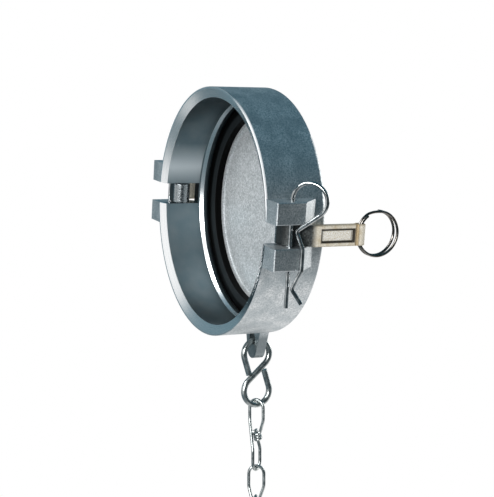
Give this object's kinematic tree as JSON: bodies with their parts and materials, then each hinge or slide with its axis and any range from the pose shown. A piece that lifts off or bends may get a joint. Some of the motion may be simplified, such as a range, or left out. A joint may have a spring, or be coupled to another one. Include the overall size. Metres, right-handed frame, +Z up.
{
  "type": "camlock dust cap",
  "caption": "Round dust cap with cam levers that lock it on a grooved pipe adapter, with safety clips, finger rings, gasket and retaining chain.",
  "frame": {"origin": "on the bore axis, in the middle of the land that guides the adapter", "axes": "Y along the bore with the mouth towards -Y, levers along X, chain eye towards -Z, +Z up"},
  "size_m": [0.2564, 0.1062, 0.5827],
  "materials": {
    "cast_aluminium": "satin",
    "black_rubber": "matt",
    "lever_metal": "cast, satin",
    "steel_pin": "turned",
    "spring_steel": "bright",
    "plated_wire": "bright zinc"
  },
  "bodies": {
    "cap": {"cap_body": "cast_aluminium", "gasket": "black_rubber", "pivot_pin_right": "steel_pin", "pivot_pin_left": "steel_pin"},
    "right_lever": {"lever_right": "lever_metal"},
    "left_lever": {"lever_left": "lever_metal"},
    "right_ring": {"finger_ring_right": "spring_steel"},
    "left_ring": {"finger_ring_left": "spring_steel"},
    "right_clip": {"safety_clip_right": "spring_steel"},
    "left_clip": {"safety_clip_left": "spring_steel"},
    "hook": {"s_hook": "plated_wire"},
    "link_1": {"chain_link_1": "plated_wire"},
    "link_2": {"chain_link_2": "plated_wire"},
    "link_3": {"chain_link_3": "plated_wire"},
    "link_4": {"chain_link_4": "plated_wire"},
    "link_5": {"chain_link_5": "plated_wire"},
    "far_hook": {"end_hook": "plated_wire"}
  },
  "joints": [
    {"name": "right_lever_hinge", "type": "hinge", "parent": "cap", "child": "right_lever", "pos_m": [0.1005, -0.0205, 0], "axis": [0, 0, 1], "range_deg": [-105, 0]},
    {"name": "right_ring_hinge", "type": "hinge", "parent": "right_lever", "child": "right_ring", "pos_m": [0.10899, 0.0339, 0], "axis": [0, 0, 1], "range_deg": [-158, 102]},
    {"name": "right_clip_slide", "type": "slide", "parent": "cap", "child": "right_clip", "axis": [0, 0, 1], "range_m": [0, 0.084], "deforming": ["safety_clip_right"]},
    {"name": "left_lever_hinge", "type": "hinge", "parent": "cap", "child": "left_lever", "pos_m": [-0.1005, -0.0205, 0], "axis": [0, 0, 1], "range_deg": [0, 105]},
    {"name": "left_ring_hinge", "type": "hinge", "parent": "left_lever", "child": "left_ring", "pos_m": [-0.10899, 0.0339, 0], "axis": [0, 0, 1], "range_deg": [-102, 158]},
    {"name": "left_clip_slide", "type": "slide", "parent": "cap", "child": "left_clip", "axis": [0, 0, 1], "range_m": [0, 0.084], "deforming": ["safety_clip_left"]},
    {"name": "hook_swing", "type": "hinge", "parent": "cap", "child": "hook", "pos_m": [0, 0.01135, -0.10749], "axis": [0, 1, 0], "range_deg": [-60, 60]},
    {"name": "link_1_swing", "type": "hinge", "parent": "hook", "child": "link_1", "pos_m": [0.00673, 0.01135, -0.16077], "axis": [0, 1, 0], "range_deg": [-45, 45]},
    {"name": "link_2_swing", "type": "hinge", "parent": "link_1", "child": "link_2", "pos_m": [0.01349, 0.01135, -0.2143], "axis": [-0.5691, 0.8192, -0.0719], "range_deg": [-45, 45]},
    {"name": "link_3_swing", "type": "hinge", "parent": "link_2", "child": "link_3", "pos_m": [0.0204, 0.01135, -0.26896], "axis": [-0.8677, 0.4848, -0.1096], "range_deg": [-45, 45]},
    {"name": "link_4_swing", "type": "hinge", "parent": "link_3", "child": "link_4", "pos_m": [0.0273, 0.01135, -0.32363], "axis": [-0.4658, 0.8829, -0.0588], "range_deg": [-45, 45]},
    {"name": "link_5_swing", "type": "hinge", "parent": "link_4", "child": "link_5", "pos_m": [0.03421, 0.01135, -0.37829], "axis": [-0.8414, 0.5299, -0.1063], "range_deg": [-45, 45]},
    {"name": "far_hook_swing", "type": "hinge", "parent": "link_5", "child": "far_hook", "pos_m": [0.04112, 0.01135, -0.43296], "axis": [-0.6377, 0.766, -0.0806], "range_deg": [-45, 45]}
  ],
  "couplings": [
    {"joint": "right_clip_slide", "follows": "right_lever_hinge", "m_per_rad": -0.045836},
    {"joint": "left_clip_slide", "follows": "left_lever_hinge", "m_per_rad": 0.045836}
  ]
}
